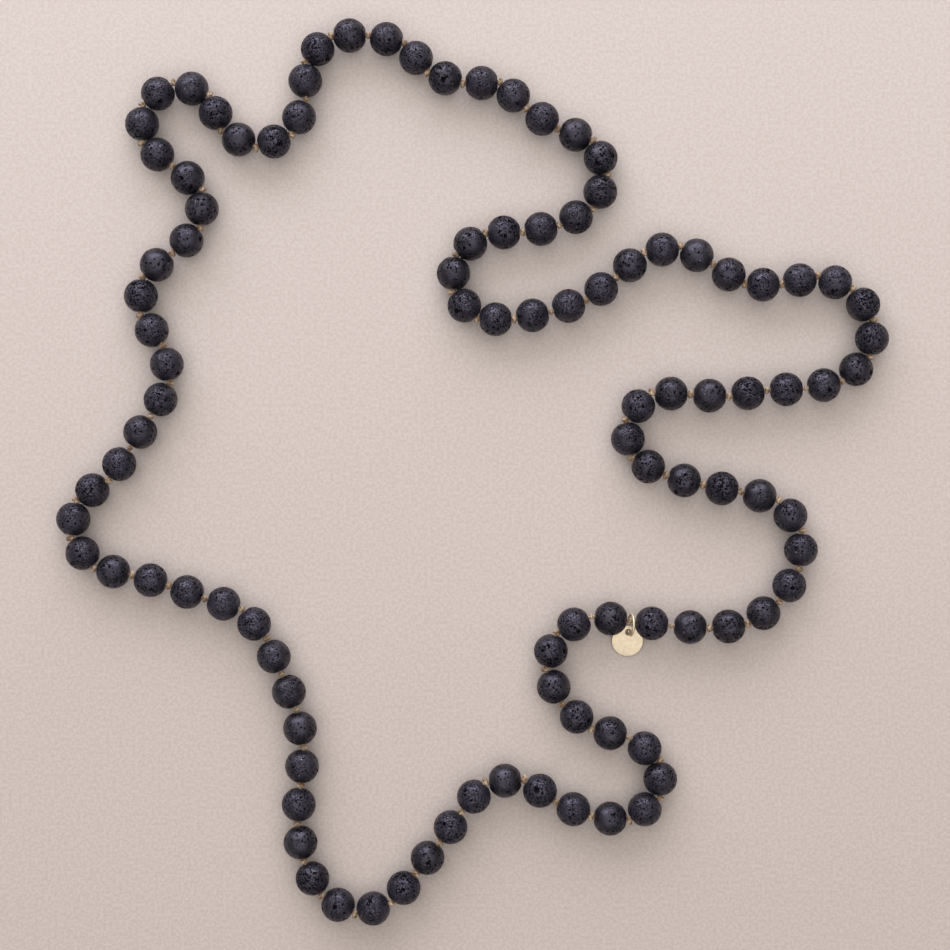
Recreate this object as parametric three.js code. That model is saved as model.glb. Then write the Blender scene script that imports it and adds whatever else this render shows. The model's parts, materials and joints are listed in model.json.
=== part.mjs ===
// A mala: round stone beads knotted onto a thin cord in one closed loop, with a small round tag on a jump ring.
// Units are millimetres. The loop lies on the plane z = 0, and the origin is the middle of its outline.
// Every second bead is loose and turns on the cord. The beads between them are held tight by their knots,
// so they are one piece with their run of cord. The loop bends at four knots, the corners of a parallelogram,
// and each of its four runs keeps its own shape.

import * as THREE from 'three';

// Beads
const beadRadius = 4;
const beadFace = 3.7; // from the bead's middle to the ground flat around its hole
const boreRadius = 0.85;
const roundSides = 8;
const bandsPerHalf = 2; // bands of flat faces from a bead's girth to its ground flat

// Cord and knots
const cordRadius = 0.5;
const knotRadius = 0.8;
const knotHalfLength = 0.7;
const knotEndRadius = 0.42;
const beadPitch = 9; // knot to knot, before a run is stretched onto its corners

// A held bead at the end of a run is hollowed a little where the next run's knot sits
const seatDepth = 0.4;
const seatMouthRadius = 1.05;
const seatFloorRadius = 0.7;

// Tag and jump ring, measured at the gap between the two beads that they hang between
const tagGap = 0.64; // extra cord in the gap
const ringRadius = 2.5;
const wireRadius = 0.27;
const ringTop = 0.66; // how far along the cord the ring crosses it
const ringAcross = 1; // from the cord's middle to the ring's middle, across the cord
const ringHeight = 2.76;
const ringLean = THREE.MathUtils.degToRad(12);
const ringYaw = THREE.MathUtils.degToRad(4);
const tagRadius = 3.7;
const tagThickness = 0.4;
const tagHoleRadius = 0.75;
const tagHoleOffset = 2.15; // from the tag's middle to its hole
const tagAlong = -0.12; // the tag's middle, along and across the cord
const tagAcross = 4.95;
const tagTilt = THREE.MathUtils.degToRad(8);

// Corners where the loop bends, and the last one set so that opposite sides are equal and parallel
const cornerAB = new THREE.Vector2(78.3, 19.6);
const cornerBC = new THREE.Vector2(-39.2, 87.6);
const cornerCD = new THREE.Vector2(-80.7, 5.6);
const cornerDA = cornerAB.clone().add(cornerCD).sub(cornerBC);

// The bend at each knot inside a run, in degrees, turning left as a positive number
const bendsA = [-29, -24, -42, -49, -31, 0, 2, 11, 29, 23, 27, 43, 38, 5, -7, -11, -54, -54, -49, 1, 12, -7];
const bendsB = [
  31, 43, 40, 34, 36, -15, -32, 3, 40, 31, -4, -20, -6, -11, -48, -48,
  -48, -36, 10, 16, 39, 48, 48, -14, -13, 48, -20, -35, 40, 14, 43, 48,
];
const bendsC = [-49, -45, -47, 54, 54, 54, 54, -2, -54, -47, -2, 49, 40, -27, -41, -3];
const bendsD = [
  -26, 51, 46, 42, -6, -4, 4, -35, -16, 0, -12, -16, 0, 15,
  17, 34, 46, 34, 1, 2, -3, -48, -38, 12, 17, 42, 54, 54,
];

// The order of the runs is the order round the loop. A gap is the number of beads before the tag.
const beadsBeforeTag = 6;
const runs = [
  { name: 'a', from: cornerDA, to: cornerAB, bends: bendsA, gapAfter: beadsBeforeTag, firstIsLoose: false },
  { name: 'b', from: cornerAB, to: cornerBC, bends: bendsB, gapAfter: 0, firstIsLoose: true },
  { name: 'c', from: cornerBC, to: cornerCD, bends: bendsC, gapAfter: 0, firstIsLoose: false },
  { name: 'd', from: cornerCD, to: cornerDA, bends: bendsD, gapAfter: 0, firstIsLoose: true },
];

const materials = {
  stone: () => new THREE.MeshStandardMaterial({ color: 0x2c2b31, roughness: 0.75, metalness: 0 }),
  heldStone: () => new THREE.MeshStandardMaterial({ color: 0x35343a, roughness: 0.75, metalness: 0 }),
  gold: () => new THREE.MeshStandardMaterial({ color: 0xd8bf8c, roughness: 0.35, metalness: 1 }),
};

// Lays a run as a chain: one straight link for each bead, a bend at each knot, and a short link at the tag.
// The chain is then turned and stretched evenly, so that its two ends meet the run's corners.
function layRun(run) {
  const links = [];
  const at = new THREE.Vector2();
  let heading = 0;
  for (let i = 0; i <= run.bends.length; i += 1) {
    const step = new THREE.Vector2(Math.cos(heading), Math.sin(heading));
    if (run.gapAfter > 0 && i === run.gapAfter) {
      const gapStart = at.clone();
      at.addScaledVector(step, tagGap);
      links.push({ kind: 'gap', start: gapStart, end: at.clone(), heading });
    }
    const start = at.clone();
    at.addScaledVector(step, beadPitch);
    links.push({ kind: 'bead', start, end: at.clone(), heading });
    heading += THREE.MathUtils.degToRad(run.bends[i] ?? 0);
  }
  const span = run.to.clone().sub(run.from);
  const stretch = span.length() / at.length();
  const turn = span.angle() - at.angle();
  const origin = new THREE.Vector2();
  for (const link of links) {
    for (const point of [link.start, link.end]) {
      point.multiplyScalar(stretch).rotateAround(origin, turn).add(run.from);
    }
    link.heading += turn;
  }
  return links;
}

// One round section of a turned solid: its middle, the way it faces, and its radius
function section(base, heading, along, radius) {
  const middle = new THREE.Vector2(Math.cos(heading), Math.sin(heading)).multiplyScalar(along).add(base);
  return { middle, heading, radius };
}

// A closed solid through a row of round sections that follow each other along the cord
function turnedAlong(sections) {
  const vertices = [];
  const triangles = [];
  for (const { middle, heading, radius } of sections) {
    for (let side = 0; side < roundSides; side += 1) {
      const angle = (side / roundSides) * Math.PI * 2;
      const across = Math.cos(angle) * radius;
      vertices.push(middle.x - Math.sin(heading) * across);
      vertices.push(middle.y + Math.cos(heading) * across);
      vertices.push(beadRadius + Math.sin(angle) * radius);
    }
  }
  for (let row = 0; row < sections.length - 1; row += 1) {
    for (let side = 0; side < roundSides; side += 1) {
      const next = (side + 1) % roundSides;
      const a = row * roundSides + side;
      const b = row * roundSides + next;
      triangles.push(a, b, a + roundSides, b, b + roundSides, a + roundSides);
    }
  }
  const last = (sections.length - 1) * roundSides;
  for (let side = 1; side < roundSides - 1; side += 1) {
    triangles.push(0, side + 1, side, last, last + side, last + side + 1);
  }
  const geometry = new THREE.BufferGeometry();
  geometry.setAttribute('position', new THREE.Float32BufferAttribute(vertices, 3));
  geometry.setIndex(triangles);
  geometry.computeVertexNormals();
  return geometry;
}

// Distances along the hole and radii of a bead's round face, from one ground flat to the other
function beadOutline() {
  const rim = Math.acos(beadFace / beadRadius);
  const bands = bandsPerHalf * 2;
  const outline = [];
  for (let i = 0; i <= bands; i += 1) {
    const angle = rim + ((Math.PI - 2 * rim) * i) / bands;
    outline.push({ along: -beadRadius * Math.cos(angle), radius: beadRadius * Math.sin(angle) });
  }
  return outline;
}

// The sections of one held bead, seated on the cord or, at the end of a run, hollowed for the next run's knot
function heldBeadSections(link, hollowStart, hollowEnd) {
  const middle = link.start.clone().add(link.end).multiplyScalar(0.5);
  const at = (along, radius) => section(middle, link.heading, along, radius);
  const seat = [
    { along: seatDepth - beadFace, radius: seatFloorRadius },
    { along: -beadFace, radius: seatMouthRadius },
  ];
  const cordEnd = [{ along: -beadFace, radius: cordRadius }];
  const before = hollowStart ? seat : cordEnd;
  const after = hollowEnd ? seat : cordEnd;
  return [
    ...before.map((p) => at(p.along, p.radius)),
    ...beadOutline().map((p) => at(p.along, p.radius)),
    ...after.toReversed().map((p) => at(-p.along, p.radius)),
  ];
}

// A knot between two links, as two cones back to back; the girth faces halfway between the links
function knotSections(before, after) {
  const girthHeading = before && after ? (before.heading + after.heading) / 2 : (before ?? after).heading;
  const base = after ? after.start : before.end;
  const sections = [section(base, girthHeading, 0, knotRadius)];
  const beadStartsHere = after?.kind === 'bead' && !after.loose;
  const beadEndsHere = before?.kind === 'bead' && !before.loose;
  if (!beadEndsHere) {
    const endRadius = before ? cordRadius : knotEndRadius;
    sections.unshift(section(base, (before ?? after).heading, -knotHalfLength, endRadius));
  }
  if (!beadStartsHere) {
    const endRadius = after ? cordRadius : knotEndRadius;
    sections.push(section(base, (after ?? before).heading, knotHalfLength, endRadius));
  }
  return sections;
}

// The cord of one run with its knots and held beads. A run that ends on a loose bead keeps the corner's knot.
function strandSolid(links) {
  const sections = [];
  links.forEach((link, i) => {
    const previous = links[i - 1];
    const next = links[i + 1];
    const knotBefore = previous ? previous.kind !== 'gap' : link.loose;
    if (knotBefore) sections.push(...knotSections(previous, link));
    if (link.kind === 'bead' && !link.loose) sections.push(...heldBeadSections(link, !previous, !next));
    if (!next && link.loose) sections.push(...knotSections(link, undefined));
  });
  return turnedAlong(sections);
}

// A loose bead: the round outline turned about the hole, closed through the bore
function looseBeadSolid() {
  const profile = beadOutline().map((p) => new THREE.Vector2(p.radius, p.along));
  profile.unshift(new THREE.Vector2(boreRadius, -beadFace));
  profile.push(new THREE.Vector2(boreRadius, beadFace), new THREE.Vector2(boreRadius, -beadFace));
  return new THREE.LatheGeometry(profile, roundSides);
}

function placeLooseBead(link, name) {
  const bead = new THREE.Mesh(looseBeadSolid(), materials.stone());
  const middle = link.start.clone().add(link.end).multiplyScalar(0.5);
  bead.name = name;
  bead.position.set(middle.x, middle.y, beadRadius);
  bead.rotation.z = link.heading - Math.PI / 2;
  return bead;
}

// The jump ring: a wire ring round the cord, leaning along it, with its lowest point just over the plane
function jumpRing() {
  const ring = new THREE.Mesh(new THREE.TorusGeometry(ringRadius, wireRadius, 6, 24), materials.gold());
  const across = new THREE.Vector3(Math.sin(ringYaw), -Math.cos(ringYaw), 0);
  const level = new THREE.Vector3(Math.cos(ringYaw), Math.sin(ringYaw), 0);
  const up = new THREE.Vector3(0, 0, Math.cos(ringLean)).addScaledVector(level, Math.sin(ringLean));
  const facing = new THREE.Vector3().crossVectors(across, up);
  ring.quaternion.setFromRotationMatrix(new THREE.Matrix4().makeBasis(across, up, facing));
  ring.position.set(ringTop - ringRadius * Math.sin(ringLean), -ringAcross, ringHeight);
  ring.name = 'jump_ring';
  return ring;
}

// The tag: a thin disc with a hole, its far edge on the plane and its near edge lifted over the ring
function tag() {
  const outline = new THREE.Shape();
  outline.absarc(0, 0, tagRadius, 0, Math.PI * 2);
  const hole = new THREE.Path();
  hole.absarc(0, tagHoleOffset, tagHoleRadius, 0, Math.PI * 2, true);
  outline.holes.push(hole);
  const solid = new THREE.ExtrudeGeometry(outline, { depth: tagThickness, bevelEnabled: false, curveSegments: 12 });
  const disc = new THREE.Mesh(solid, materials.gold());
  disc.rotation.x = tagTilt;
  disc.position.set(tagAlong, -tagAcross, tagRadius * Math.sin(tagTilt));
  disc.name = 'tag';
  return disc;
}

const mala = new THREE.Group();
let beadNumber = 0;
for (const run of runs) {
  const links = layRun(run);
  let loose = run.firstIsLoose;
  for (const link of links.filter((each) => each.kind === 'bead')) {
    beadNumber += 1;
    link.loose = loose;
    loose = !loose;
    if (link.loose) mala.add(placeLooseBead(link, `bead_${String(beadNumber).padStart(3, '0')}`));
  }
  const strand = new THREE.Mesh(strandSolid(links), materials.heldStone());
  strand.name = `strand_${run.name}`;
  mala.add(strand);

  const gap = links.find((link) => link.kind === 'gap');
  if (gap) {
    const hanging = new THREE.Group();
    hanging.add(jumpRing(), tag());
    hanging.position.set((gap.start.x + gap.end.x) / 2, (gap.start.y + gap.end.y) / 2, 0);
    hanging.rotation.z = gap.heading;
    mala.add(hanging);
  }
}

export default mala;
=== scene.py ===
# Mala prayer beads, lying in an open loop on a pale table and seen from straight above.
# Everything is in metres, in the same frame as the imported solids.

import json
import math

import bmesh
import bpy
import numpy as np
from mathutils import Matrix, Vector

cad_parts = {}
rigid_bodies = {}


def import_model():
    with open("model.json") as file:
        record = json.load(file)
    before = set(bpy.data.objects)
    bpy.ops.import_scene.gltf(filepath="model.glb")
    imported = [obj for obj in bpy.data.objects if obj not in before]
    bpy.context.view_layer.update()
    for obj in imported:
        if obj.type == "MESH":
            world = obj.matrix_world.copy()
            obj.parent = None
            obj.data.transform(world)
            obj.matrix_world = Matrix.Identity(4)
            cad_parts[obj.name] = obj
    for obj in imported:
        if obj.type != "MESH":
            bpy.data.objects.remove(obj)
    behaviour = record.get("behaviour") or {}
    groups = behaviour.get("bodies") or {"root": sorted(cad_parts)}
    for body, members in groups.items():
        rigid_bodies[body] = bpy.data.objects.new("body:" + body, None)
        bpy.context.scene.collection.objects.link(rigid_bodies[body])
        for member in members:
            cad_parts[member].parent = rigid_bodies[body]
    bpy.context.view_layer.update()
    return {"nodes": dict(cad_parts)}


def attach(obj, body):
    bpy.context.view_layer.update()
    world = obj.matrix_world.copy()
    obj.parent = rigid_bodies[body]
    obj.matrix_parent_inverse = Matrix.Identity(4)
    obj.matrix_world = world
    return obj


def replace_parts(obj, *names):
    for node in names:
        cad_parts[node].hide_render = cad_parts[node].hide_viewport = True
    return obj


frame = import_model()
print("frame loaded:", len(frame["nodes"]), "solids")


# Camera: straight down, with the loop a little left of and above the middle

cameraPlace = {
    "lens": 85.0,
    "middle": (0.00054, -0.00075),
    "viewWidth": 0.2235,  # at the middle of the beads
    "beadHeight": 0.004,
}

cameraData = bpy.data.cameras.new("camera")
cameraData.lens = cameraPlace["lens"]
cameraData.clip_start = 0.01
cameraData.clip_end = 20.0
camera = bpy.data.objects.new("camera", cameraData)
cameraRise = cameraPlace["viewWidth"] * cameraData.lens / cameraData.sensor_width
camera.location = (*cameraPlace["middle"], cameraPlace["beadHeight"] + cameraRise)
bpy.context.scene.collection.objects.link(camera)
bpy.context.scene.camera = camera
bpy.context.scene.view_settings.view_transform = "Standard"


# How the loop lies: the same chain of links as the solids

loopLay = {
    "beadRadius": 0.004,
    "pitch": 0.009,  # knot to knot, before a run is stretched onto its corners
    "tagGap": 0.00064,  # extra cord where the tag hangs
    "beadsBeforeTag": 6,
    "cornerAB": (0.0783, 0.0196),
    "cornerBC": (-0.0392, 0.0876),
    "cornerCD": (-0.0807, 0.0056),
    "cornerDA": (0.0368, -0.0624),
}

# The bend at each knot inside a run, in degrees, turning left as a positive number
bends = {
    "a": [-29, -24, -42, -49, -31, 0, 2, 11, 29, 23, 27, 43, 38, 5, -7, -11, -54, -54, -49, 1, 12, -7],
    "b": [31, 43, 40, 34, 36, -15, -32, 3, 40, 31, -4, -20, -6, -11, -48, -48,
          -48, -36, 10, 16, 39, 48, 48, -14, -13, 48, -20, -35, 40, 14, 43, 48],
    "c": [-49, -45, -47, 54, 54, 54, 54, -2, -54, -47, -2, 49, 40, -27, -41, -3],
    "d": [-26, 51, 46, 42, -6, -4, 4, -35, -16, 0, -12, -16, 0, 15,
          17, 34, 46, 34, 1, 2, -3, -48, -38, 12, 17, 42, 54, 54],
}

runs = [  # in order round the loop; a run that ends on loose beads keeps the knots at its corners
    {"name": "a", "ends": ("cornerDA", "cornerAB"), "hasTag": True, "firstIsLoose": False},
    {"name": "b", "ends": ("cornerAB", "cornerBC"), "hasTag": False, "firstIsLoose": True},
    {"name": "c", "ends": ("cornerBC", "cornerCD"), "hasTag": False, "firstIsLoose": False},
    {"name": "d", "ends": ("cornerCD", "cornerDA"), "hasTag": False, "firstIsLoose": True},
]


def layRun(run, lay):
    links, at, heading = [], 0j, 0.0
    for i, bend in enumerate(bends[run["name"]] + [0]):
        step = complex(math.cos(heading), math.sin(heading))
        if run["hasTag"] and i == lay["beadsBeforeTag"]:
            links.append(["gap", at, at + step * lay["tagGap"], heading])
            at = links[-1][2]
        links.append(["bead", at, at + step * lay["pitch"], heading])
        at = links[-1][2]
        heading += math.radians(bend)
    start, finish = (complex(*lay[end]) for end in run["ends"])
    fit = (finish - start) / at  # one turn and one stretch bring both ends to their corners
    turn = math.atan2(fit.imag, fit.real)
    return [
        {"kind": kind, "start": start + a * fit, "end": start + b * fit, "heading": angle + turn}
        for kind, a, b, angle in links
    ]


beadNumber = 0
for run in runs:
    run["links"] = layRun(run, loopLay)
    loose = run["firstIsLoose"]
    for link in run["links"]:
        if link["kind"] == "bead":
            beadNumber += 1
            link["number"], link["loose"] = beadNumber, loose
            loose = not loose
print("loop laid out:", beadNumber, "beads")


# Building nodes: shader sums as plain expressions, and one way to add any other node
class Amount:
    def __init__(self, finish, socket):
        self.finish, self.socket = finish, socket

    def sum(self, operation, a, b):
        return self.finish.add("ShaderNodeMath", {"operation": operation}, {0: a, 1: b})

    def __add__(self, other):
        return self.sum("ADD", self, other)

    def __radd__(self, other):
        return self.sum("ADD", other, self)

    def __sub__(self, other):
        return self.sum("SUBTRACT", self, other)

    def __rsub__(self, other):
        return self.sum("SUBTRACT", other, self)

    def __mul__(self, other):
        return self.sum("MULTIPLY", self, other)

    def __rmul__(self, other):
        return self.sum("MULTIPLY", other, self)


class Finish:
    def __init__(self, name):
        self.material = bpy.data.materials.new(name)
        self.material.use_nodes = True
        self.tree = self.material.node_tree
        self.shader = self.tree.nodes["Principled BSDF"]

    def add(self, kind, settings=None, values=None, output=0):
        node = self.tree.nodes.new(kind)
        for key, value in (settings or {}).items():
            setattr(node, key, value)
        for key, value in (values or {}).items():
            self.put(node.inputs[key], value)
        return Amount(self, node.outputs[output])

    def put(self, socket, value):
        if isinstance(value, Amount):
            self.tree.links.new(value.socket, socket)
        elif isinstance(value, tuple) and len(value) == 3 and socket.type == "RGBA":
            socket.default_value = (*value, 1)
        else:
            socket.default_value = value

    def blend(self, share, a, b):
        return self.add("ShaderNodeMix", {"data_type": "RGBA"}, {0: share, 6: a, 7: b}, output=2)

    def step(self, amount, low, high):
        settings = {"interpolation_type": "SMOOTHSTEP"}
        return self.add("ShaderNodeMapRange", settings, {0: amount, 1: low, 2: high})

    def noise(self, place, scale, detail=3.0, roughness=0.55):
        values = {"Vector": place, "Scale": scale, "Detail": detail, "Roughness": roughness}
        return self.add("ShaderNodeTexNoise", {}, values)

    def set(self, **values):
        for key, value in values.items():
            self.put(self.shader.inputs[key.replace("_", " ")], value)

    def cover(self, share, other):
        under = Amount(self, self.shader.outputs["BSDF"])
        mixed = self.add("ShaderNodeMixShader", {}, {0: share, 1: under, 2: other})
        self.tree.links.new(mixed.socket, self.tree.nodes["Material Output"].inputs["Surface"])


def growTree(name, inputs):
    tree = bpy.data.node_groups.new(name, "GeometryNodeTree")
    tree.interface.new_socket(name="Geometry", in_out="INPUT", socket_type="NodeSocketGeometry")
    for label, kind, value in inputs:
        socket = tree.interface.new_socket(name=label, in_out="INPUT", socket_type=kind)
        if value is not None:
            socket.default_value = value
    tree.interface.new_socket(name="Geometry", in_out="OUTPUT", socket_type="NodeSocketGeometry")
    given = tree.nodes.new("NodeGroupInput")

    def add(kind, settings=None, values=None):
        node = tree.nodes.new(kind)
        for key, value in (settings or {}).items():
            setattr(node, key, value)
        for key, value in (values or {}).items():
            if isinstance(value, bpy.types.NodeSocket):
                tree.links.new(value, node.inputs[key])
            else:
                node.inputs[key].default_value = value
        return node.outputs

    return tree, given.outputs, add


def endTree(tree, add, shape, finish):
    whole = add("GeometryNodeRealizeInstances", None, {"Geometry": shape})
    dressed = add("GeometryNodeSetMaterial", None, {"Geometry": whole["Geometry"], "Material": finish})
    result = tree.nodes.new("NodeGroupOutput")
    tree.links.new(dressed["Geometry"], result.inputs["Geometry"])


def runTree(tree, name, mesh, values):
    source = bpy.data.objects.new(name + "Source", mesh)
    bpy.context.scene.collection.objects.link(source)
    modifier = source.modifiers.new("nodes", "NODES")
    modifier.node_group = tree
    for item in tree.interface.items_tree:
        if item.item_type == "SOCKET" and item.in_out == "INPUT" and item.name in values:
            modifier[item.identifier] = values[item.name]
    depsgraph = bpy.context.evaluated_depsgraph_get()
    made = bpy.data.meshes.new_from_object(
        source.evaluated_get(depsgraph), preserve_all_data_layers=True, depsgraph=depsgraph
    )
    made.name = name
    bpy.data.objects.remove(source)
    piece = bpy.data.objects.new(name, made)
    bpy.context.scene.collection.objects.link(piece)
    return piece


def addPiece(name, mesh, material):
    mesh.materials.append(material)
    piece = bpy.data.objects.new(name, mesh)
    bpy.context.scene.collection.objects.link(piece)
    return piece


# Lava stone

stoneShades = {
    "dark": (0.0026, 0.0024, 0.0031),
    "light": (0.0185, 0.0166, 0.0260),
    # painted shade: the dark colour mixed into pits, pores and channels in place of their shadow
    "pitShade": (0.0040, 0.0036, 0.0046),
    "crystal": (0.22, 0.22, 0.26),
    "roughness": 0.22,
    "sheenColour": (0.82, 0.76, 1.0),
    "gloss": 0.80,
    "grain": 0.00010,
}


def stoneFinish(look):
    finish = Finish("lavaStone")
    place = finish.add("ShaderNodeTexCoord", output="Object")
    pit = finish.add("ShaderNodeAttribute", {"attribute_name": "pit"}, output="Fac")
    tone = finish.add("ShaderNodeAttribute", {"attribute_name": "tone"}, output="Fac")
    cloud = finish.noise(place, 420.0, 2.0)
    grain = finish.noise(place, 5600.0, 3.0, 0.6)
    crowd = finish.noise(place, 330.0, 1.0)
    porous = finish.step(crowd + tone * 0.25, 0.42, 0.66)
    worms = finish.noise(place, 2600.0, 1.5)
    worm = (1 - finish.step(worms, 0.42, 0.49)) * (porous * 0.8 + 0.2)
    pores = finish.add("ShaderNodeTexVoronoi", {"feature": "F1"}, {"Vector": place, "Scale": 1900.0})
    pore = (1 - finish.step(pores, 0.24, 0.36)) * porous
    crystals = finish.add("ShaderNodeTexVoronoi", {"feature": "F1"}, {"Vector": place, "Scale": 1000.0})
    lucky = finish.noise(place, 1000.0, 0.0)
    crystal = (1 - finish.step(crystals, 0.10, 0.18)) * finish.step(lucky, 0.66, 0.70)
    share = finish.step(cloud * 0.5 + tone * 0.45 + grain * 0.45, 0.38, 1.0)
    plain = finish.blend(share, look["dark"], look["light"])
    speckled = finish.blend(crystal, plain, look["crystal"])
    # Painted shade: pits, pores and worm-like channels get a dark matte shader mixed over the stone, standing in for
    # the shadow inside deep holes.
    pitShadeShare = 1 - (1 - pore * 0.85) * (1 - worm * 0.6) * (1 - finish.step(pit, 0.05, 0.5) * 0.95)
    height = grain * 0.35 - pore * 0.9 - worm * 0.9
    bump = finish.add("ShaderNodeBump", {}, {"Height": height, "Distance": look["grain"], "Strength": 1.0})
    roughness = look["roughness"] + grain * 0.2 + pit * 0.3
    finish.set(
        Base_Color=speckled, Roughness=roughness, Normal=bump,
        Specular_IOR_Level=look["gloss"], Specular_Tint=look["sheenColour"],
    )
    # Painted shade: the dark, matte shader for the floors of pits and pores.
    inside = finish.add("ShaderNodeBsdfPrincipled", {}, {
        "Base Color": look["pitShade"], "Roughness": 0.9, "Specular IOR Level": 0.08, "Normal": bump,
    })
    finish.cover(pitShadeShare, inside)
    return finish.material


stoneCut = {
    "kinds": 16,  # different stones, dealt out round the loop
    "radius": 0.004,
    "face": 0.00374,  # from the middle to the ground flat round the hole
    "hole": 0.00062,
    "spacing": 0.00036,  # between points on plain stone
    "pits": (90, 300),  # fewest and most on one stone
    "pitRadius": (0.00010, 0.00031),
    "bigPits": 5,  # most on one stone
    "bigPitRadius": (0.00040, 0.00062),
    "depth": 0.95,  # of a pit, in its own radii
    "deepest": 0.00050,
    "lump": 0.00004,
    "seed": 41,
}


def scatterPits(cut, rng):
    crowd = rng.normal(size=3)
    crowd /= np.linalg.norm(crowd)
    evenness = rng.uniform(0.04, 0.7)
    wanted = int(cut["pits"][0] + (cut["pits"][1] - cut["pits"][0]) * rng.uniform() ** 0.8)
    sizes = cut["pitRadius"][0] + (cut["pitRadius"][1] - cut["pitRadius"][0]) * rng.uniform(size=wanted) ** 1.7
    low, high = cut["bigPitRadius"]
    big = low + (high - low) * rng.uniform(size=rng.integers(0, cut["bigPits"] + 1)) ** 1.5
    pits = []
    for size in sorted([*sizes, *big], reverse=True):
        for attempt in range(30):
            middle = rng.normal(size=3)
            middle /= np.linalg.norm(middle)
            density = evenness + (1 - evenness) * max(0, 0.35 + 0.65 * middle @ crowd) ** 1.5
            apart = [math.acos(min(1, middle @ other)) * cut["radius"] - 0.8 * (size + width) for other, width, _ in pits]
            if abs(middle[0]) < 0.9 and rng.uniform() < density and min(apart, default=1) > 0:
                pits.append((middle, size, min(cut["deepest"], cut["depth"] * size * rng.uniform(0.75, 1.2))))
                break
    return pits


def ringRound(middle, reach, sides, rng, wobble):
    side = np.cross(middle, (0, 0, 1) if abs(middle[2]) < 0.9 else (1, 0, 0))
    side /= np.linalg.norm(side)
    other = np.cross(middle, side)
    around = (np.arange(sides) + rng.uniform()) / sides * 2 * math.pi
    lobes = 1 + wobble * np.cos(2 * around + rng.uniform(0, 6)) + wobble * 0.7 * np.cos(3 * around + rng.uniform(0, 6))
    angles = (reach * lobes)[:, None]
    outward = np.cos(around)[:, None] * side + np.sin(around)[:, None] * other
    return np.cos(angles) * middle + np.sin(angles) * outward


def cutStone(number, cut):
    rng = np.random.default_rng(cut["seed"] + number)
    radius = cut["radius"]
    pits = scatterPits(cut, rng)
    holeSides = 14
    around = np.arange(holeSides) / holeSides * 2 * math.pi
    reach = cut["hole"] / radius
    mouth = np.stack([np.full(holeSides, math.sqrt(1 - reach ** 2)), reach * np.cos(around), reach * np.sin(around)], 1)
    points, depths = [mouth, mouth * (-1, 1, 1)], [np.zeros(holeSides * 2)]
    flatReach = math.acos(cut["face"] / radius)
    for end in (1.0, -1.0):
        points.append(ringRound(np.array([end, 0, 0]), flatReach, 40, rng, 0.02))
        depths.append(np.zeros(40))
    for middle, size, depth in pits:
        sides = 6 if size < 0.00014 else 7 if size < 0.0002 else 9 if size < 0.0003 else 13
        wobble = rng.uniform(0.02, 0.24)
        rings = [(1.0, 0.0), (0.8, 0.62), (0.42, 0.97)] if sides > 7 else [(1.0, 0.0), (0.66, 0.8)]
        for share, down in rings[:1 if sides == 6 else 3]:
            kept = ringRound(middle, size / radius * share, sides if share > 0.5 else 5, rng, wobble)
            points.append(kept)
            depths.append(np.full(len(kept), down * depth))
        points.append(middle[None])
        depths.append(np.array([depth]))
    count = int(4 * math.pi * radius ** 2 / cut["spacing"] ** 2)
    step = np.arange(count) + 0.5
    height = 1 - 2 * step / count
    swing = step * math.pi * (3 - math.sqrt(5))
    level = np.sqrt(1 - height ** 2)
    plain = np.stack([height, level * np.cos(swing), level * np.sin(swing)], 1)
    plain += rng.normal(size=plain.shape) * 0.012
    plain /= np.linalg.norm(plain, axis=1)[:, None]
    clear = np.abs(plain[:, 0]) < math.cos(reach * 1.3)
    for middle, size, _ in pits:
        clear &= plain @ middle < math.cos(size / radius * 1.25)
    points.append(plain[clear])
    depths.append(np.zeros(clear.sum()))
    points, depths = np.vstack(points), np.concatenate(depths)
    for middle, size, depth in pits:  # a point inside a neighbouring pit is at least as deep as that pit
        share = np.arccos(np.clip(points @ middle, -1, 1)) * radius / size
        depths = np.maximum(depths, depth * np.clip((0.97 - share) / 0.4, 0, 1))

    shape = bmesh.new()
    for point in points:
        shape.verts.new(point)
    shape.verts.ensure_lookup_table()
    bmesh.ops.convex_hull(shape, input=shape.verts)
    shape.verts.index_update()
    caps = [face for face in shape.faces if all(v.index < holeSides for v in face.verts)
            or all(holeSides <= v.index < 2 * holeSides for v in face.verts)]
    bmesh.ops.delete(shape, geom=caps, context="FACES_ONLY")
    shape.verts.ensure_lookup_table()
    for i in range(holeSides):
        j = (i + 1) % holeSides
        shape.faces.new([shape.verts[k] for k in (i, j, holeSides + j, holeSides + i)])
    swell = np.zeros(len(points))
    for _ in range(5):
        swell += np.cos(points @ rng.normal(size=3) * 2.4 + rng.uniform(0, 6)) / 5
    placed = points * (radius + cut["lump"] * swell / 2 - depths)[:, None]
    placed[:, 0] = np.clip(placed[:, 0], -cut["face"], cut["face"])
    shape.verts.ensure_lookup_table()
    for vert, place in zip(shape.verts, placed):
        vert.co = place
    bmesh.ops.recalc_face_normals(shape, faces=shape.faces)
    bmesh.ops.triangulate(shape, faces=shape.faces)
    mesh = bpy.data.meshes.new(f"stone{number:02d}")
    shape.to_mesh(mesh)
    shape.free()
    depthLayer = mesh.attributes.new("pit", "FLOAT", "POINT")
    depthLayer.data.foreach_set("value", (depths / 0.00025).clip(0, 1).astype(np.float32))
    mesh.shade_smooth()
    mesh.set_sharp_from_angle(angle=math.radians(38))
    return mesh


stoneKinds = bpy.data.collections.new("stoneKinds")
for number in range(stoneCut["kinds"]):
    mesh = cutStone(number, stoneCut)
    stoneKinds.objects.link(bpy.data.objects.new(mesh.name, mesh))


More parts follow.
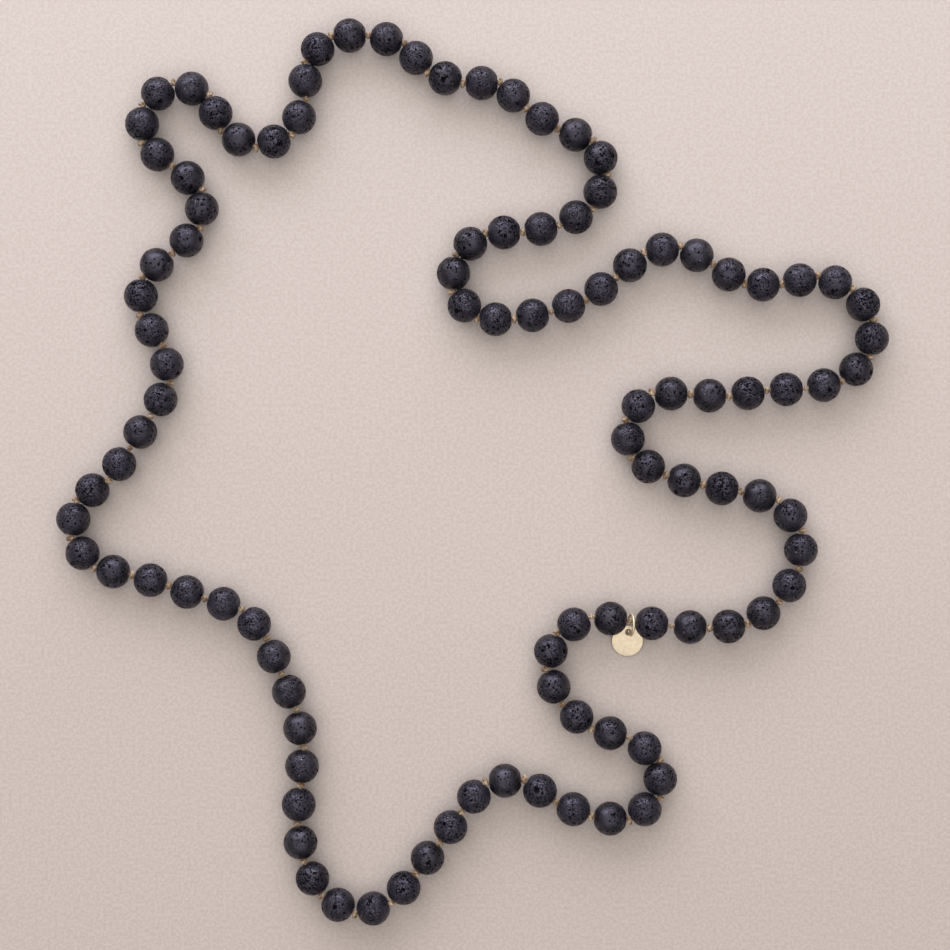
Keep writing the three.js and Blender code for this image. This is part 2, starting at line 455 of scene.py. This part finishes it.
def stoneTree():
    tree, given, add = growTree("stonesOnCord", [
        ("Stones", "NodeSocketCollection", None),
        ("Stone Size", "NodeSocketFloat", 1.0),
        ("Finish", "NodeSocketMaterial", None),
    ])
    stones = add("GeometryNodeCollectionInfo", None, {
        "Collection": given["Stones"], "Separate Children": True, "Reset Children": True,
    })
    kind = add("GeometryNodeInputNamedAttribute", {"data_type": "INT"}, {"Name": "kind"})
    lie = add("GeometryNodeInputNamedAttribute", {"data_type": "FLOAT_VECTOR"}, {"Name": "lie"})
    size = add("GeometryNodeInputNamedAttribute", {"data_type": "FLOAT"}, {"Name": "size"})
    scale = add("ShaderNodeMath", {"operation": "MULTIPLY"}, {0: size["Attribute"], 1: given["Stone Size"]})
    placed = add("GeometryNodeInstanceOnPoints", None, {
        "Points": given["Geometry"], "Instance": stones["Instances"], "Pick Instance": True,
        "Instance Index": kind["Attribute"], "Rotation": lie["Attribute"], "Scale": scale["Value"],
    })
    endTree(tree, add, placed["Instances"], given["Finish"])
    return tree


def pointsWith(name, places, layers):
    mesh = bpy.data.meshes.new(name)
    mesh.from_pydata([tuple(place) for place in places], [], [])
    for layer, (kind, values) in layers.items():
        data = mesh.attributes.new(layer, kind, "POINT").data
        data.foreach_set("vector" if kind == "FLOAT_VECTOR" else "value", np.ravel(values))
    return mesh


beadDeal = {
    "seed": 7,
    "size": (0.993, 1.001),
    "sizes": 1.0,
}

stoneMaterial = stoneFinish(stoneShades)
stonesOnCord = stoneTree()
deal = np.random.default_rng(beadDeal["seed"])
beadLooks = [
    {
        "kind": int(deal.integers(stoneCut["kinds"])),
        "flip": math.pi * int(deal.integers(2)),
        "spin": deal.uniform(0, 2 * math.pi),
        "size": deal.uniform(*beadDeal["size"]),
        "tone": deal.uniform(),
    }
    for _ in range(beadNumber)
]


def placeStones(name, links, body, node):
    looks = [beadLooks[link["number"] - 1] for link in links]
    middles = [(link["start"] + link["end"]) / 2 for link in links]
    points = pointsWith(name, [(m.real, m.imag, loopLay["beadRadius"]) for m in middles], {
        "kind": ("INT", [look["kind"] for look in looks]),
        "lie": ("FLOAT_VECTOR", [(look["spin"], 0, link["heading"] + look["flip"]) for look, link in zip(looks, links)]),
        "size": ("FLOAT", [look["size"] for look in looks]),
        "tone": ("FLOAT", [look["tone"] for look in looks]),
    })
    values = {"Stones": stoneKinds, "Stone Size": beadDeal["sizes"], "Finish": stoneMaterial}
    piece = runTree(stonesOnCord, name, points, values)
    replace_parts(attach(piece, body), node)
    return piece


for run in runs:
    beads = [link for link in run["links"] if link["kind"] == "bead"]
    strand = "strand_" + run["name"]
    placeStones("held_stones_" + run["name"], [link for link in beads if not link["loose"]], strand, strand)
    for link in beads:
        if link["loose"]:
            node = f"bead_{link['number']:03d}"
            placeStones("loose_stone_" + node[5:], [link], node, node)
print("stones placed")


# Cord and knots

cordLook = {
    "radius": 0.00042,
    "plies": 3,
    "groove": 0.16,  # how deep the plies' grooves are, as a share of the radius
    "twist": 2100.0,  # radians of twist for each metre
    "step": 0.00035,
}

knotLook = {
    "lobe": 0.00066,  # from the cord's middle to the middle of the outermost turn
    "depth": 0.00018,  # half the way along the cord that the turns spread over
    "strand": 0.00034,  # radius of the cord where the knot squeezes it
    "sizes": (1.0, 1.22),
    "tight": 0.78,  # size at a corner and beside the jump ring, where something has to turn past it
    "seed": 19,
}

cordShades = {
    "shadow": (0.07, 0.028, 0.013),
    "tan": (0.29, 0.18, 0.105),
    "pale": (0.66, 0.485, 0.335),
    "fibre": 0.00003,
}


def cordFinish(look):
    finish = Finish("tanCord")
    place = finish.add("ShaderNodeTexCoord", output="Object")
    fibres = finish.noise(place, 5200.0, 4.0, 0.7)
    patches = finish.noise(place, 700.0, 2.0)
    base = finish.blend(finish.step(patches, 0.35, 0.65), look["tan"], look["pale"])
    colour = finish.blend(finish.step(fibres, 0.56, 0.36) * 0.85, base, look["shadow"])
    bump = finish.add("ShaderNodeBump", {}, {"Height": fibres, "Distance": look["fibre"], "Strength": 1.0})
    finish.set(Base_Color=colour, Roughness=0.7 + fibres * 0.25, Normal=bump, Sheen_Weight=0.25)
    return finish.material


def cordTree(look):
    tree, given, add = growTree("twistedCord", [
        ("Radius", "NodeSocketFloat", look["radius"]),
        ("Groove", "NodeSocketFloat", look["groove"]),
        ("Twist", "NodeSocketFloat", look["twist"]),
        ("Step", "NodeSocketFloat", look["step"]),
        ("Finish", "NodeSocketMaterial", None),
    ])
    path = add("GeometryNodeMeshToCurve", None, {"Mesh": given["Geometry"]})
    even = add("GeometryNodeResampleCurve", {"mode": "LENGTH"}, {"Curve": path["Curve"], "Length": given["Step"]})
    along = add("GeometryNodeSplineParameter")
    tilt = add("ShaderNodeMath", {"operation": "MULTIPLY"}, {0: along["Length"], 1: given["Twist"]})
    turned = add("GeometryNodeSetCurveTilt", None, {"Curve": even["Curve"], "Tilt": tilt["Value"]})
    circle = add("GeometryNodeCurvePrimitiveCircle", None, {"Resolution": 12, "Radius": given["Radius"]})
    angle = add("ShaderNodeMath", {"operation": "MULTIPLY"}, {0: along["Factor"], 1: 2 * math.pi * look["plies"]})
    wave = add("ShaderNodeMath", {"operation": "COSINE"}, {0: angle["Value"]})
    swell = add("ShaderNodeMath", {"operation": "MULTIPLY_ADD"}, {0: wave["Value"], 1: given["Groove"], 2: 1.0})
    spot = add("GeometryNodeInputPosition")
    lobed = add("ShaderNodeVectorMath", {"operation": "SCALE"}, {0: spot["Position"], "Scale": swell["Value"]})
    profile = add("GeometryNodeSetPosition", None, {"Geometry": circle["Curve"], "Position": lobed["Vector"]})
    solid = add("GeometryNodeCurveToMesh", None, {
        "Curve": turned["Curve"], "Profile Curve": profile["Geometry"], "Fill Caps": True,
    })
    endTree(tree, add, solid["Mesh"], given["Finish"])
    return tree


def knotForm(look):
    turns, sides = 36, 7
    t = np.arange(turns) / turns * 2 * math.pi
    unit = look["lobe"] / 3
    path = np.stack([
        -np.sin(3 * t) * look["depth"],
        (np.sin(t) + 2 * np.sin(2 * t)) * unit,
        (np.cos(t) - 2 * np.cos(2 * t)) * unit,
    ], 1)
    ahead = np.roll(path, -1, 0) - np.roll(path, 1, 0)
    ahead /= np.linalg.norm(ahead, axis=1)[:, None]
    side = np.cross(ahead, (1.0, 0.0, 0.0))
    side /= np.linalg.norm(side, axis=1)[:, None]
    other = np.cross(ahead, side)
    verts, faces = [], []
    for i in range(turns):
        for k in range(sides):
            angle = 2 * math.pi * k / sides
            verts.append(path[i] + look["strand"] * (math.cos(angle) * side[i] + math.sin(angle) * other[i]))
            a, b = i * sides + k, i * sides + (k + 1) % sides
            c, d = ((i + 1) % turns) * sides + (k + 1) % sides, ((i + 1) % turns) * sides + k
            faces.append((a, b, c, d))
    mesh = bpy.data.meshes.new("knotForm")
    mesh.from_pydata([tuple(v) for v in verts], [], faces)
    shape = bmesh.new()
    shape.from_mesh(mesh)
    bmesh.ops.recalc_face_normals(shape, faces=shape.faces)
    shape.to_mesh(mesh)
    shape.free()
    mesh.shade_smooth()
    return bpy.data.objects.new("knotForm", mesh)


def knotTree():
    tree, given, add = growTree("knotsOnCord", [
        ("Knot", "NodeSocketObject", None),
        ("Finish", "NodeSocketMaterial", None),
    ])
    knot = add("GeometryNodeObjectInfo", None, {"Object": given["Knot"], "As Instance": True})
    lie = add("GeometryNodeInputNamedAttribute", {"data_type": "FLOAT_VECTOR"}, {"Name": "lie"})
    size = add("GeometryNodeInputNamedAttribute", {"data_type": "FLOAT"}, {"Name": "size"})
    placed = add("GeometryNodeInstanceOnPoints", None, {
        "Points": given["Geometry"], "Instance": knot["Geometry"],
        "Rotation": lie["Attribute"], "Scale": size["Attribute"],
    })
    endTree(tree, add, placed["Instances"], given["Finish"])
    return tree


def knotsOf(run):
    knots, links = [], run["links"]
    for i, link in enumerate(links):
        before = links[i - 1] if i else None
        if before["kind"] != "gap" if before else link["loose"]:
            facing = (before["heading"] + link["heading"]) / 2 if before else link["heading"]
            besideRing = any(near["kind"] == "gap" for near in links[max(0, i - 2):i + 2])
            knots.append((link["start"], facing, before is None or besideRing))
    if links[-1]["loose"]:
        knots.append((links[-1]["end"], links[-1]["heading"], True))
    return knots


cordMaterial = cordFinish(cordShades)
twistedCord, knotsOnCord, knotShape = cordTree(cordLook), knotTree(), knotForm(knotLook)
tie = np.random.default_rng(knotLook["seed"])
for run in runs:
    stops = [link["start"] for link in run["links"]] + [run["links"][-1]["end"]]
    path = bpy.data.meshes.new("path")
    path.from_pydata([(s.real, s.imag, loopLay["beadRadius"]) for s in stops], [(i, i + 1) for i in range(len(stops) - 1)], [])
    cord = runTree(twistedCord, "cord_" + run["name"], path, {"Finish": cordMaterial})
    knots = knotsOf(run)
    points = pointsWith("knots", [(p.real, p.imag, loopLay["beadRadius"]) for p, _, _ in knots], {
        "lie": ("FLOAT_VECTOR", [(tie.uniform(0, 2 * math.pi), 0, facing) for _, facing, _ in knots]),
        "size": ("FLOAT", [knotLook["tight"] if tight else tie.uniform(*knotLook["sizes"]) for _, _, tight in knots]),
    })
    tied = runTree(knotsOnCord, "knots_" + run["name"], points, {"Knot": knotShape, "Finish": cordMaterial})
    for piece in (cord, tied):
        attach(piece, "strand_" + run["name"])
print("cord and knots made")


# Tag and jump ring

goldShades = {
    "deep": (0.545, 0.440, 0.305),
    "pale": (0.69, 0.595, 0.46),
    "roughness": 0.26,
    "brush": 0.000012,
}

# Painted light: the ring's gold is a paler, brighter copy of the tag's gold, standing in for the light that falls on
# the wire.
brightenedRingShades = {
    "deep": (0.94, 0.77, 0.51),
    "pale": (1.0, 0.87, 0.64),
    "roughness": 0.42,
    "brush": 0.000004,
}

ringLook = {
    "radius": 0.0025,
    "wire": 0.00027,
    "along": 0.00066,  # where it crosses the cord
    "across": 0.001,
    "height": 0.00276,
    "lean": 12.0,
    "yaw": 4.0,
    "slit": 3.0,  # degrees, between the wire's two cut ends
    "slitAt": 205.0,
}

tagLook = {
    "radius": 0.0037,
    "thickness": 0.0004,
    "hole": 0.00075,
    "holeAt": 0.00215,
    "along": -0.00012,
    "across": 0.00495,
    "tilt": 8.0,
    "edge": 0.00009,  # rounding
}


def goldFinish(name, look):
    finish = Finish(name)
    place = finish.add("ShaderNodeUVMap", {"uv_map": "metalFace"})
    stretched = finish.add("ShaderNodeMapping", None, {"Vector": place, "Scale": (0.35, 9.0, 1.0)})
    strokes = finish.noise(stretched, 1.6, 4.0, 0.7)
    wear = finish.noise(place, 0.9, 3.0)
    colour = finish.blend(finish.step(wear * 0.6 + strokes * 0.5, 0.3, 0.75), look["deep"], look["pale"])
    bump = finish.add("ShaderNodeBump", {}, {"Height": strokes, "Distance": look["brush"], "Strength": 0.6})
    finish.set(Base_Color=colour, Metallic=1.0, Roughness=look["roughness"] + strokes * 0.2 - wear * 0.08, Normal=bump)
    return finish.material


def hangingFrame():
    gap = next(link for link in runs[0]["links"] if link["kind"] == "gap")
    middle = (gap["start"] + gap["end"]) / 2
    return Matrix.Translation((middle.real, middle.imag, 0)) @ Matrix.Rotation(gap["heading"], 4, "Z")


def wrapRows(rows, closed):
    verts = [tuple(v) for row in rows for v in row]
    width, faces = len(rows[0]), []
    for r in range(len(rows) if closed else len(rows) - 1):
        for k in range(width):
            a, b = r * width + k, r * width + (k + 1) % width
            n = (r + 1) % len(rows) * width
            faces.append((a, b, n + (k + 1) % width, n + k))
    if not closed:
        faces += [tuple(range(width)), tuple(range((len(rows) - 1) * width, len(rows) * width))]
    return verts, faces


def closedMesh(name, verts, faces, place, uvs):
    mesh = bpy.data.meshes.new(name)
    mesh.from_pydata(verts, [], faces)
    layer = mesh.uv_layers.new(name="metalFace")
    for loop in mesh.loops:
        layer.data[loop.index].uv = uvs[loop.vertex_index]
    mesh.transform(place)
    shape = bmesh.new()
    shape.from_mesh(mesh)
    bmesh.ops.recalc_face_normals(shape, faces=shape.faces)
    shape.to_mesh(mesh)
    shape.free()
    mesh.shade_smooth()
    mesh.set_sharp_from_angle(angle=math.radians(50))
    return mesh


def jumpRing(look, hanging):
    yaw, lean = math.radians(look["yaw"]), math.radians(look["lean"])
    across = Vector((math.sin(yaw), -math.cos(yaw), 0))
    level = Vector((math.cos(yaw), math.sin(yaw), 0))
    up = Vector((0, 0, math.cos(lean))) + level * math.sin(lean)
    middle = Vector((look["along"] - look["radius"] * math.sin(lean), -look["across"], look["height"]))
    facing = across.cross(up)
    turns, sides, rows, uvs = 96, 14, [], []
    for i in range(turns):
        angle = math.radians(look["slitAt"] + look["slit"] / 2 + (360 - look["slit"]) * i / (turns - 1))
        outward = across * math.cos(angle) + up * math.sin(angle)
        row = []
        for k in range(sides):
            turn = 2 * math.pi * k / sides
            wide = look["wire"] * (0.8 if i in (0, turns - 1) else 1)
            row.append(middle + outward * (look["radius"] + wide * math.cos(turn)) + facing * wide * math.sin(turn))
            uvs.append((i * 0.16, k * 0.12))
        rows.append(row)
    verts, faces = wrapRows(rows, False)
    return closedMesh("jump_ring_wire", verts, faces, hanging, uvs)


def tagDisc(look, hanging):
    sides, edge, thick = 120, look["edge"], look["thickness"]
    corner = [(1 - math.cos(a), 1 - math.sin(a)) for a in (0, math.pi / 6, math.pi / 3, math.pi / 2)]
    rise = [(s * edge, thick - d * edge) for s, d in corner]  # from the wall up onto the face
    profile = [(0, s, z) for s, z in rise]
    profile += [(share, 0, thick) for share in (0.25, 0.5, 0.75)]
    profile += [(1, -s, z) for s, z in rise[::-1]]
    profile += [(1, -s, thick - z) for s, z in rise]
    profile += [(share, 0, 0) for share in (0.75, 0.5, 0.25)]
    profile += [(0, s, thick - z) for s, z in rise[::-1]]
    rows, uvs = [], []
    for share, shift, height in profile:
        radius = look["hole"] + (look["radius"] - look["hole"]) * share + shift
        middle = look["holeAt"] * (1 - share)
        row = [(radius * math.cos(a), middle + radius * math.sin(a), height)
               for a in (2 * math.pi * k / sides for k in range(sides))]
        rows.append(row)
        uvs += [(x * 1000, y * 1000) for x, y, _ in row]
    verts, faces = wrapRows(rows, True)
    tilt = math.radians(look["tilt"])
    place = Matrix.Translation((look["along"], -look["across"], look["radius"] * math.sin(tilt)))
    return closedMesh("tag_disc", verts, faces, hanging @ place @ Matrix.Rotation(tilt, 4, "X"), uvs)


hanging = hangingFrame()
for mesh, node, finished in (
    (jumpRing(ringLook, hanging), "jump_ring", goldFinish("ringGold", brightenedRingShades)),
    (tagDisc(tagLook, hanging), "tag", goldFinish("tagGold", goldShades)),
):
    piece = addPiece(mesh.name, mesh, finished)
    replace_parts(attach(piece, node), node)
print("tag and jump ring made")


# Table, light and air

tableLook = {
    "half": 6.0,
    # pale and shade carry the table's own fine grain and also a painted light falloff, paler towards +Y on the window's
    # side
    "pale": (0.633, 0.559, 0.530),
    "shade": (0.484, 0.415, 0.378),
}

lightLook = {
    "window": {"place": (-0.25, 1.25, 0.655), "width": 2.2, "height": 0.86, "power": 24.6, "colour": (0.95, 0.95, 1.0)},
    "overhead": {"place": (0.0, 0.0, 1.8), "width": 3.2, "height": 3.2, "power": 35.6, "colour": (1.0, 0.97, 0.93)},
    "air": (0.92, 0.89, 0.87),
    "airStrength": 0.30,
}


def tableFinish(look):
    finish = Finish("paleTable")
    place = finish.add("ShaderNodeTexCoord", output="Object")
    grain = finish.noise(place, 1300.0, 4.0, 0.75)
    cloud = finish.noise(place, 16.0, 3.0)
    across = finish.add("ShaderNodeSeparateXYZ", {}, {"Vector": place}, output="Y")
    # Painted light falloff: the table is painted paler towards +Y, where the window is, and darker towards -Y. It is
    # mixed with the table's own fine grain.
    paintedLightFalloff = finish.step(across + cloud * 0.05, -0.16, 0.21)
    share = finish.step(grain, 0.42, 0.58) * 0.4 + paintedLightFalloff * 0.6
    colour = finish.blend(share, look["shade"], look["pale"])
    bump = finish.add("ShaderNodeBump", {}, {"Height": grain, "Distance": 0.00010, "Strength": 0.5})
    finish.set(Base_Color=colour, Roughness=0.8, Normal=bump, Specular_IOR_Level=0.25)
    return finish.material


half = tableLook["half"]
tableMesh = bpy.data.meshes.new("table")
tableMesh.from_pydata([(-half, -half, 0), (half, -half, 0), (half, half, 0), (-half, half, 0)], [], [(0, 1, 2, 3)])
table = addPiece("table", tableMesh, tableFinish(tableLook))


def addLight(name, look):
    data = bpy.data.lights.new(name, "AREA")
    data.shape, data.size, data.size_y = "RECTANGLE", look["width"], look["height"]
    data.energy, data.color = look["power"], look["colour"]
    light = bpy.data.objects.new(name, data)
    light.location = look["place"]
    light.rotation_euler = (-Vector(look["place"])).to_track_quat("-Z", "Y").to_euler()
    bpy.context.scene.collection.objects.link(light)


addLight("window", lightLook["window"])
addLight("overhead", lightLook["overhead"])
world = bpy.data.worlds.new("air")
world.use_nodes = True
world.node_tree.nodes["Background"].inputs["Color"].default_value = (*lightLook["air"], 1)
world.node_tree.nodes["Background"].inputs["Strength"].default_value = lightLook["airStrength"]
bpy.context.scene.world = world

for each in list(stoneKinds.objects):
    bpy.data.objects.remove(each)
bpy.data.collections.remove(stoneKinds)
bpy.data.objects.remove(knotShape)

print("table and light set")
